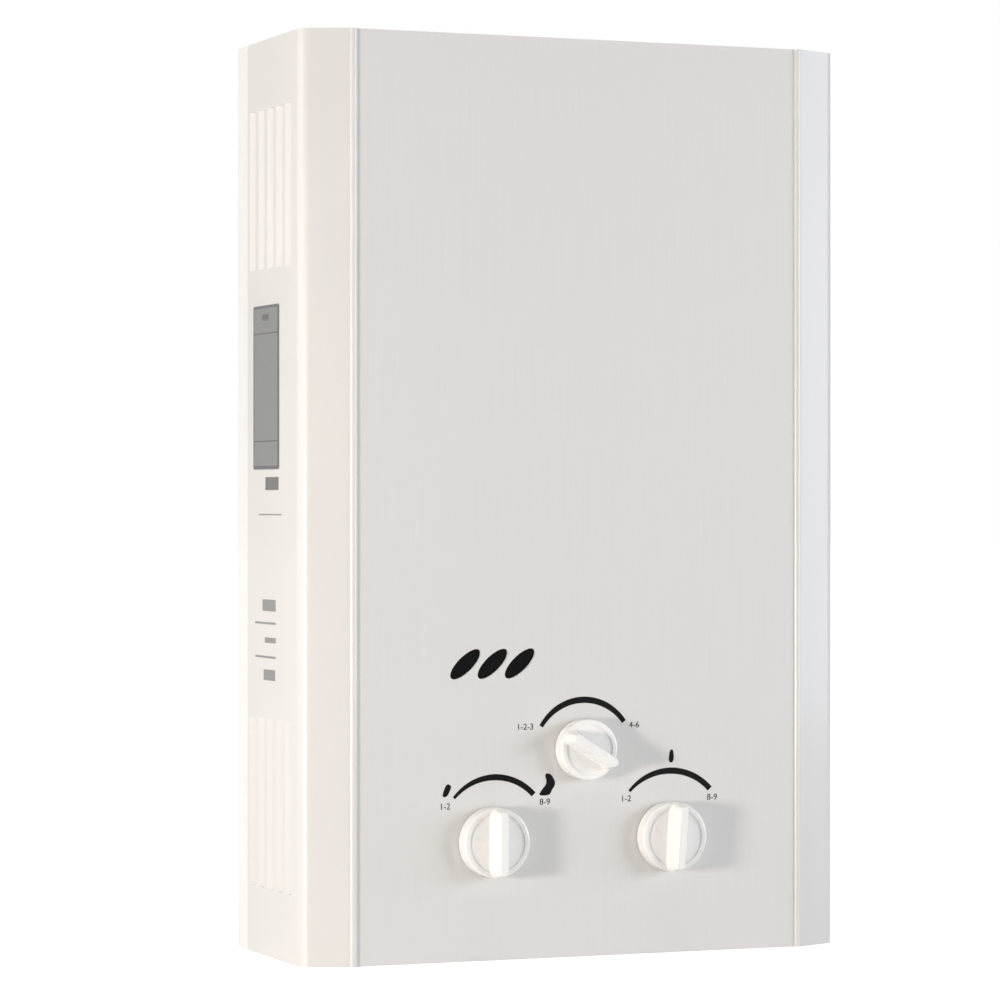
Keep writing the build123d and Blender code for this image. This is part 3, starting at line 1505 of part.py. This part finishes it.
# Overheat thermostat on the front of the exchanger.
thermostat_x = 60.0
thermostat_height = 7.0
thermostat_front_y = probe_wall_y - thermostat_height

with BuildPart() as overheat_thermostat:
    with BuildSketch(facing(probe_wall_y)):
        with Locations((thermostat_x, pass_z)):
            SlotOverall(26.0, 12.0)
    extrude(amount=1.0)
    with BuildSketch(facing(probe_wall_y)):
        with Locations((thermostat_x, pass_z)):
            Circle(8.0)
    extrude(amount=thermostat_height)
overheat_thermostat.part.label = "overheat_thermostat"
export_step(overheat_thermostat.part, "parts/overheat_thermostat.step")

# ---------------------------------------------------------------- wiring

spark_lead_radius = 1.4
control_lead_radius = 1.2
lead_bend = 8.0
lead_pitch = 3.0
terminal_y = probe_wall_y - ceramic_front - terminal_length
lead_turn_y = terminal_y - lead_pitch
front_lead_y = inner_front_y + 5.0
rear_lead_y = core_y + core_half_depth - 2.0
solenoid_lead_y = rear_lead_y + 6.0
battery_lead_x = igniter_x + 6.0
solenoid_lead_x = igniter_x - 2.0
thermostat_lead_x = igniter_x - 4.0
switch_lead_x = igniter_x - 8.0
switch_lead_z = barrel_top + 20.0
battery_lead_z = (box_top_z + igniter_base_z) / 2

spark_routes = []
for i, wire_x in enumerate(reversed(probe_xs)):
    start_x = igniter_x - igniter_half_width + 5.0 + i * lead_pitch
    run_y = lead_turn_y - i * lead_pitch
    spark_routes.append(
        [
            (start_x, igniter_front_y, probe_z),
            (start_x, run_y, probe_z),
            (wire_x, run_y, probe_z),
            (wire_x, terminal_y, probe_z),
        ]
    )

igniter_top_z = igniter_base_z + igniter_height
solenoid_top_z = solenoid_seat_z + solenoid_height
solenoid_lead_z = burner_base - frame_rail - lead_bend
control_routes = [
    # battery box to igniter
    [
        (battery_lead_x, box_y, box_top_z),
        (battery_lead_x, box_y, battery_lead_z),
        (battery_lead_x, igniter_middle_y, battery_lead_z),
        (battery_lead_x, igniter_middle_y, igniter_base_z),
    ],
    # micro-switch to igniter
    [
        (0, rod_y + 1.0, switch_base_z + switch_height),
        (0, rod_y + 1.0, switch_lead_z),
        (0, rear_lead_y, switch_lead_z),
        (switch_lead_x, rear_lead_y, switch_lead_z),
        (switch_lead_x, rear_lead_y, igniter_base_z),
    ],
    # solenoid to igniter
    [
        (solenoid_x, rod_y, solenoid_top_z),
        (solenoid_x, rod_y, solenoid_lead_z),
        (solenoid_x, solenoid_lead_y, solenoid_lead_z),
        (solenoid_lead_x, solenoid_lead_y, solenoid_lead_z),
        (solenoid_lead_x, solenoid_lead_y, igniter_base_z),
    ],
    # thermostat to igniter
    [
        (thermostat_x, thermostat_front_y, pass_z),
        (thermostat_x, front_lead_y, pass_z),
        (thermostat_lead_x, front_lead_y, pass_z),
        (thermostat_lead_x, igniter_middle_y, pass_z),
        (thermostat_lead_x, igniter_middle_y, igniter_top_z),
    ],
]

with BuildPart() as wiring:
    for route in spark_routes:
        with BuildLine() as spark_route:
            FilletPolyline(*route, radius=[lead_bend, lead_pitch - spark_lead_radius])
        with BuildSketch(facing(igniter_front_y)):
            with Locations((route[0][0], probe_z)):
                Circle(spark_lead_radius)
        sweep(path=spark_route.wires()[0])
    for route in control_routes:
        first = Vector(*route[0])
        second = Vector(*route[1])
        with BuildLine() as control_route:
            FilletPolyline(*route, radius=lead_bend)
        with BuildSketch(Plane(origin=first, z_dir=second - first)):
            Circle(control_lead_radius)
        sweep(path=control_route.wires()[0])
wiring.part.label = "wiring"
export_step(wiring.part, "parts/wiring.step")
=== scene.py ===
"""Looks of the wall-hung instant gas water heater: materials, printed marks, light and camera."""
import json
from math import cos, pi, radians, sin

import bmesh
import bpy
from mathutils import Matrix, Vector


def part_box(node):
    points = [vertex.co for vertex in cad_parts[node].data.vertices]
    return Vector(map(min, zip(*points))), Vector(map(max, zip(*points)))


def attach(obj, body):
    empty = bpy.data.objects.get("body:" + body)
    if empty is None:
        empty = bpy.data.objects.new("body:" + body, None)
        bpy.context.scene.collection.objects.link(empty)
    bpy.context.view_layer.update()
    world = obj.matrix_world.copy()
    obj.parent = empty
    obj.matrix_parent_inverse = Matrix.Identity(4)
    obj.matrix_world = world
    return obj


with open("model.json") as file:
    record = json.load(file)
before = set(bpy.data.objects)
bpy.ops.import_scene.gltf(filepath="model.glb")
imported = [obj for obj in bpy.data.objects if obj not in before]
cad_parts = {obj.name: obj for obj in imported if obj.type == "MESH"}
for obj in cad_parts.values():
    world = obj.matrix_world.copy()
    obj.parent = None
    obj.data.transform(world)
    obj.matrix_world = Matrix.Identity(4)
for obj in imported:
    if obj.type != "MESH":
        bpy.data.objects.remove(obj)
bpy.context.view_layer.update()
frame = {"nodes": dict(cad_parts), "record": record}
MM = 0.001

# ---------------------------------------------------------------- camera

sensor_mm = 36.0
focal_pixels = 3908
image_pixels = 1000
sight_line = Vector((0.3731, 0.9278, 0.0019))

camera_data = bpy.data.cameras.new("camera")
camera_data.sensor_width = sensor_mm
camera_data.lens = focal_pixels / image_pixels * sensor_mm
camera_data.clip_end = 60.0
camera = bpy.data.objects.new("camera", camera_data)
camera.location = (-0.8604, -2.0684, 0.2520)
camera.rotation_euler = sight_line.to_track_quat("-Z", "Y").to_euler()
bpy.context.scene.collection.objects.link(camera)
bpy.context.scene.camera = camera

# ---------------------------------------------------------------- materials

noise_low, noise_high = 0.3, 0.7  # the stretch of the noise over which a look changes
least_rough = 0.03
coat_rough = 0.08
relief_detail = 2.0


def noise_over(nodes, links, place, grain, detail):
    """Noise over the piece's own coordinates, finer along an axis where grain is larger."""
    scale = nodes.new("ShaderNodeMapping")
    scale.inputs["Scale"].default_value = grain
    links.new(place.outputs["Object"], scale.inputs["Vector"])
    noise = nodes.new("ShaderNodeTexNoise")
    noise.inputs["Scale"].default_value = 1.0
    noise.inputs["Detail"].default_value = detail
    links.new(scale.outputs["Vector"], noise.inputs["Vector"])
    return noise.outputs["Fac"]


def surface(name, colour, rough, grain, span, metal=0.0, rough_span=0.06, bump=0.0,
            bump_grain=None, detail=3.0, coat=0.0, tint=None, gloss=0.5):
    """Material whose colour and roughness wander with one noise, and whose relief follows another.

    The colour wanders by the share span, towards tint if there is one, and the roughness by
    rough_span. bump is the height of the relief in metres.
    """
    material = bpy.data.materials.new(name)
    material.use_nodes = True
    nodes, links = material.node_tree.nodes, material.node_tree.links
    shader = nodes["Principled BSDF"]
    shader.inputs["Metallic"].default_value = metal
    shader.inputs["Specular IOR Level"].default_value = gloss
    shader.inputs["Coat Weight"].default_value = coat
    shader.inputs["Coat Roughness"].default_value = coat_rough
    place = nodes.new("ShaderNodeTexCoord")
    noise = noise_over(nodes, links, place, grain, detail)

    low = [max(0.0, c * (1 - span)) for c in colour]
    high = [min(1.0, c * (1 + span)) for c in (tint or colour)]
    ramp = nodes.new("ShaderNodeValToRGB")
    ends = ramp.color_ramp.elements
    for end, position, shade in ((ends[0], noise_low, low), (ends[1], noise_high, high)):
        end.position = position
        end.color = (*shade, 1)
    links.new(noise, ramp.inputs["Fac"])
    links.new(ramp.outputs["Color"], shader.inputs["Base Color"])

    spread = nodes.new("ShaderNodeMapRange")
    spread.inputs["From Min"].default_value = noise_low
    spread.inputs["From Max"].default_value = noise_high
    spread.inputs["To Min"].default_value = max(least_rough, rough - rough_span)
    spread.inputs["To Max"].default_value = min(1.0, rough + rough_span)
    links.new(noise, spread.inputs["Value"])
    links.new(spread.outputs["Result"], shader.inputs["Roughness"])

    if bump:
        relief = noise_over(nodes, links, place, bump_grain, relief_detail)
        bumps = nodes.new("ShaderNodeBump")
        bumps.inputs["Strength"].default_value = 1.0
        bumps.inputs["Distance"].default_value = bump
        links.new(relief, bumps.inputs["Height"])
        links.new(bumps.outputs["Normal"], shader.inputs["Normal"])
    return material


def print_ink(name, colour, span=0.1, gloss=0.5):
    """Half-matt printing ink of nearly one colour."""
    return surface(name, colour, 0.5, grain=(500, 500, 500), span=span, gloss=gloss)


finishes = {
    "white_enamel": surface(
        "white_enamel", (0.745, 0.73, 0.71), 0.34, grain=(14, 14, 9), span=0.012,
        bump=0.000012, bump_grain=(900, 900, 900), coat=0.35),
    "case_steel": surface(
        "case_enamel", (0.88, 0.88, 0.875), 0.36, grain=(14, 14, 9), span=0.012,
        bump=0.000012, bump_grain=(900, 900, 900), coat=0.3),
    "brushed_panel": surface(
        "brushed_panel", (0.725, 0.715, 0.7), 0.56, grain=(1500, 1500, 14), span=0.015,
        metal=0.12, gloss=0.4, rough_span=0.05, bump=0.000004, bump_grain=(3200, 3200, 30)),
    "white_plastic": surface(
        "white_plastic", (0.94, 0.93, 0.91), 0.26, grain=(60, 60, 60), span=0.01,
        bump=0.000008, bump_grain=(1500, 1500, 1500), coat=0.5),
    "dark_glass": surface(
        "dark_glass", (0.004, 0.004, 0.004), 0.16, grain=(200, 200, 200), span=0.2, gloss=0.12),
    "galvanised_steel": surface(
        "galvanised_steel", (0.55, 0.56, 0.57), 0.36, grain=(110, 110, 110), span=0.14,
        metal=0.9, rough_span=0.1, detail=0.5, bump=0.00001, bump_grain=(500, 500, 500)),
    "zinc_steel": surface(
        "zinc_steel", (0.62, 0.62, 0.6), 0.3, grain=(260, 260, 260), span=0.07,
        metal=1.0, bump=0.000008, bump_grain=(2200, 2200, 2200)),
    "burner_steel": surface(
        "burner_steel", (0.36, 0.34, 0.32), 0.45, grain=(90, 45, 120), span=0.25,
        metal=0.9, rough_span=0.12, tint=(0.4, 0.34, 0.3)),
    "cast_aluminium": surface(
        "cast_aluminium", (0.56, 0.57, 0.58), 0.5, grain=(240, 240, 240), span=0.08,
        metal=0.85, rough_span=0.1, bump=0.00009, bump_grain=(1300, 1300, 1300)),
    "brass": surface(
        "brass", (0.68, 0.48, 0.19), 0.3, grain=(150, 150, 150), span=0.1,
        metal=1.0, bump=0.000012, bump_grain=(900, 900, 2600)),
    "copper": surface(
        "copper", (0.72, 0.32, 0.19), 0.32, grain=(35, 35, 28), span=0.18,
        metal=1.0, rough_span=0.1, tint=(0.6, 0.3, 0.2), bump=0.00001,
        bump_grain=(700, 700, 700)),
    "rubber": surface(
        "black_rubber", (0.02, 0.02, 0.02), 0.75, grain=(400, 400, 400), span=0.2,
        bump=0.00003, bump_grain=(2400, 2400, 2400)),
    "lead_rubber": surface(
        "lead_sleeve", (0.42, 0.03, 0.025), 0.5, grain=(200, 200, 200), span=0.12,
        bump=0.00001, bump_grain=(2000, 2000, 2000)),
    "ceramic": surface(
        "ceramic", (0.8, 0.77, 0.7), 0.24, grain=(300, 300, 300), span=0.04, coat=0.4),
    "black_plastic": surface(
        "black_plastic", (0.03, 0.03, 0.032), 0.5, grain=(300, 300, 300), span=0.15,
        bump=0.00004, bump_grain=(1800, 1800, 1800)),
    "battery_label": surface(
        "battery_sleeve", (0.03, 0.08, 0.2), 0.3, grain=(40, 40, 500), span=0.12, coat=0.4),
}
slots = {part["node"]: part["material_slot"] for part in frame["record"]["subparts"]}
for name, node in frame["nodes"].items():
    node.data.materials.clear()
    node.data.materials.append(finishes[slots[name]])

ink = print_ink("black_ink", (0.004, 0.004, 0.004), span=0.3, gloss=0.12)
grey_ink = print_ink("grey_ink", (0.27, 0.27, 0.275))
plate_grey = surface(
    "plate_grey", (0.25, 0.254, 0.26), 0.42, grain=(30, 30, 900), span=0.05,
    metal=0.35, bump=0.000004, bump_grain=(60, 3000, 60))
plate_ink = print_ink("plate_ink", (0.13, 0.13, 0.135))
dark_grey = print_ink("dark_grey_ink", (0.16, 0.16, 0.165))

# ---------------------------------------------------------------- marks on the front panel

ink_depth = 0.08 * MM
digit_scale = 1.42  # size of the font over the height of its digits
panel_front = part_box("front_panel")[0].y
side_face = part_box("front_casing")[0].x


def solid(name, outlines, lift, material, body="case"):
    """Thin solid with the given outlines, each a list of points, raised by the vector lift."""
    mesh = bpy.data.meshes.new(name)
    shape = bmesh.new()
    for outline in outlines:
        face = shape.faces.new([shape.verts.new(point) for point in outline])
        raised = bmesh.ops.extrude_face_region(shape, geom=[face])["geom"]
        corners = [item for item in raised if isinstance(item, bmesh.types.BMVert)]
        bmesh.ops.translate(shape, vec=lift, verts=corners)
    bmesh.ops.recalc_face_normals(shape, faces=shape.faces)
    shape.to_mesh(mesh)
    shape.free()
    mesh.materials.append(material)
    piece = bpy.data.objects.new(name, mesh)
    bpy.context.scene.collection.objects.link(piece)
    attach(piece, body)


def on_panel(points):
    """Points given as (x, z) in millimetres, placed on the front panel."""
    return [(x * MM, panel_front, z * MM) for x, z in points]


def arc(centre, radius, start, end, widths, steps=48):
    """Outline of an arc over a dial, between two angles from the top in degrees.

    widths gives its width at even steps from left to right.
    """
    inner, outer = [], []
    for i in range(steps + 1):
        t = i / steps
        angle = radians(start + (end - start) * t)
        place = t * (len(widths) - 1)
        k = min(int(place), len(widths) - 2)
        width = widths[k] + (widths[k + 1] - widths[k]) * (place - k)
        for side, line in ((-0.5, inner), (0.5, outer)):
            r = radius + side * width
            line.append((centre[0] + r * sin(angle), centre[1] + r * cos(angle)))
    return on_panel(inner + outer[::-1])


def mark(centre, corners, rounds=3):
    """Outline through the given corners, about a centre, with each corner cut round.

    Each round puts two points on every edge, a quarter of its length from the ends.
    """
    points = [Vector(corner) for corner in corners]
    for _ in range(rounds):
        following = points[1:] + points[:1]
        points = [a.lerp(b, t) for a, b in zip(points, following) for t in (0.25, 0.75)]
    return on_panel([(centre[0] + p.x, centre[1] + p.y) for p in points])


def number(name, text, x, z, height):
    """Plain numbers printed on the panel, centred at x, z."""
    curve = bpy.data.curves.new(name, "FONT")
    curve.body = text
    curve.size = height * digit_scale * MM
    curve.align_x = "CENTER"
    curve.align_y = "CENTER"
    curve.extrude = ink_depth / 2
    curve.materials.append(ink)
    piece = bpy.data.objects.new(name, curve)
    piece.location = (x * MM, panel_front - ink_depth / 2, z * MM)
    piece.rotation_euler = (pi / 2, 0, 0)
    bpy.context.scene.collection.objects.link(piece)
    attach(piece, "case")


panel_lift = (0, -ink_depth, 0)
solid("dial_arcs", [
    arc((1.9, 113.7), 30.3, -58.5, 54.5, (2.4, 3.3, 3.6, 3.4, 2.8)),
    arc((-52.0, 69.8), 32.1, -49, 47, (1.7, 2.8, 3.5, 3.3, 3.2)),
    arc((55.0, 68.9), 34.0, -47.5, 47, (1.7, 2.9, 3.6, 3.5, 3.3)),
], panel_lift, ink)
solid("dial_symbols", [
    mark((-80.6, 95.2), [(-2.9, -3.5), (0.2, -3.7), (2.4, 0.6), (2.8, 2.6), (0.6, 3.8),
                         (-0.8, 2.2)]),
    mark((-20.4, 97.1), [(-5.4, -6.3), (1.8, -6.1), (2.6, -3.6), (5.2, -0.2), (4.4, 2.8),
                         (2.0, 6.2), (-1.6, 6.0), (0.2, 0.8), (-3.2, -3.0)]),
    mark((55.8, 111.2), [(-1.9, -3.7), (1.7, -3.7), (1.5, 3.6), (-0.8, 3.9)]),
], panel_lift, ink)

number("season_low", "1-2-3", -33.6, 129.4, 3.4)
number("season_high", "4-6", 32.9, 129.3, 3.4)
number("gas_low", "1-2", -81.6, 86.2, 3.5)
number("gas_high", "8-9", -21.7, 87.3, 3.5)
number("water_low", "1-2", 27.8, 87.7, 3.5)
number("water_high", "8-9", 81.3, 87.2, 3.5)

# ---------------------------------------------------------------- plate and marks on the left side

case_front = -51.75  # y of the front of the case, in millimetres
plate_depth = 0.25 * MM
plate_face = side_face - plate_depth
corner_steps = 4  # edges in each rounded corner


def side_bar(y0, y1, z0, z1, corner=0.0, face=side_face):
    """Outline of a bar on the left side, in millimetres behind the front and above the base."""
    y0, y1 = case_front + y0, case_front + y1
    points = []
    for cy, cz, start in ((y0, z0, 180), (y1, z0, 270), (y1, z1, 0), (y0, z1, 90)):
        if not corner:
            points.append((cy, cz))
            continue
        round_y = cy + (corner if cy == y0 else -corner)
        round_z = cz + (corner if cz == z0 else -corner)
        for step in range(corner_steps + 1):
            a = radians(start + 90 / corner_steps * step)
            points.append((round_y + corner * cos(a), round_z + corner * sin(a)))
    return [(face, y * MM, z * MM) for y, z in points]


side_lift = (-ink_depth, 0, 0)
solid("rating_plate", [side_bar(46.9, 91.6, 273.3, 365.6, 1.2)], (-plate_depth, 0, 0),
      plate_grey)
solid("plate_lines", [
    side_bar(46.9, 49.4, 274.2, 364.7, face=plate_face),
    side_bar(90.6, 91.6, 274.2, 364.7, face=plate_face),
    side_bar(49.6, 90.4, 364.0, 365.4, face=plate_face),
    side_bar(49.6, 90.4, 273.5, 275.4, face=plate_face),
    side_bar(49.6, 90.4, 349.4, 350.2, face=plate_face),
    side_bar(49.6, 90.4, 288.8, 289.6, face=plate_face),
    side_bar(65, 76, 357, 360.6, 1.7, face=plate_face),
], side_lift, plate_ink)
solid("side_block", [side_bar(48, 71, 261.7, 269)], side_lift, dark_grey)
solid("side_lines", [
    side_bar(43, 83, 247.6, 248.4),
    side_bar(53, 76, 193.8, 200.3),
    side_bar(53, 89, 186.4, 187.6),
    side_bar(53, 72, 176, 179),
    side_bar(53, 89, 167.4, 168.6),
    side_bar(54, 74, 155, 161),
], side_lift, grey_ink)

# ---------------------------------------------------------------- floor, backdrop and light

floor_reach = 20  # metres from the middle to each edge
floor_drop = 0.0003  # metres under the case, so that they share no plane
camera_glow = 0.9  # glow that brings the floor to white, seen by the camera
glossy_glow = 0.4  # glow that glossy surfaces reflect
room_level = 0.3  # backdrop's light on the object
middle = (0, 0, 0.25)


def math_node(nodes, links, operation, *values):
    """Output of a math node whose inputs are the values, each a socket or a plain number."""
    node = nodes.new("ShaderNodeMath")
    node.operation = operation
    for socket, value in zip(node.inputs, values):
        if isinstance(value, bpy.types.NodeSocket):
            links.new(value, socket)
        else:
            socket.default_value = value
    return node.outputs[0]


floor_mesh = bpy.data.meshes.new("floor")
floor_mesh.from_pydata(
    [(x * floor_reach, y * floor_reach, 0) for x, y in ((-1, -1), (1, -1), (1, 1), (-1, 1))],
    [], [(0, 1, 2, 3)])
floor = bpy.data.objects.new("floor", floor_mesh)
floor.location.z = -floor_drop
bpy.context.scene.collection.objects.link(floor)
floor_material = bpy.data.materials.new("pale_floor")
floor_material.use_nodes = True
nodes, links = floor_material.node_tree.nodes, floor_material.node_tree.links
floor_shader = nodes["Principled BSDF"]
floor_shader.inputs["Base Color"].default_value = (0.8, 0.8, 0.8, 1)
floor_shader.inputs["Roughness"].default_value = 0.9
floor_shader.inputs["Specular IOR Level"].default_value = 0.1
floor_shader.inputs["Emission Color"].default_value = (1, 1, 1, 1)
rays = nodes.new("ShaderNodeLightPath").outputs
glow = math_node(nodes, links, "MULTIPLY", rays["Is Camera Ray"], camera_glow)
glow = math_node(nodes, links, "MULTIPLY_ADD", rays["Is Glossy Ray"], glossy_glow, glow)
links.new(glow, floor_shader.inputs["Emission Strength"])
floor_mesh.materials.append(floor_material)

world = bpy.data.worlds.new("studio")
bpy.context.scene.world = world
world.use_nodes = True
nodes, links = world.node_tree.nodes, world.node_tree.links
backdrop = nodes["Background"]
backdrop.inputs["Color"].default_value = (1, 1, 1, 1)
rays = nodes.new("ShaderNodeLightPath").outputs
seen = math_node(nodes, links, "MAXIMUM", rays["Is Camera Ray"], rays["Is Transmission Ray"])
level = nodes.new("ShaderNodeMapRange")
level.inputs["To Min"].default_value = room_level
level.inputs["To Max"].default_value = 1.0
links.new(seen, level.inputs["Value"])
links.new(level.outputs["Result"], backdrop.inputs["Strength"])


def lamp(name, place, size, watts, colour=(1, 1, 1)):
    """Square soft box at a place, turned to the middle of the heater."""
    data = bpy.data.lights.new(name, "AREA")
    data.size = size
    data.energy = watts
    data.color = colour
    lamp_object = bpy.data.objects.new(name, data)
    lamp_object.location = place
    beam = Vector(middle) - Vector(place)
    lamp_object.rotation_euler = beam.to_track_quat("-Z", "Y").to_euler()
    bpy.context.scene.collection.objects.link(lamp_object)


lamp("key", (-1.45, -0.76, 0.12), 0.21, 15.5, (1.0, 0.925, 0.84))
lamp("side", (-2.8, 0.3, 0.35), 1.8, 20, (0.98, 0.99, 1.0))
lamp("rear", (-1.8, 2.3, 0.3), 1.6, 8)
lamp("fill", (2.4, -1.3, 0.1), 2.0, 38, (0.87, 0.91, 1.0))
lamp("front", (2.1, -1.9, 0.25), 1.3, 28, (0.96, 0.98, 1.0))
lamp("top", (0, -0.4, 2.6), 1.4, 10)

bpy.context.scene.view_settings.view_transform = "Standard"
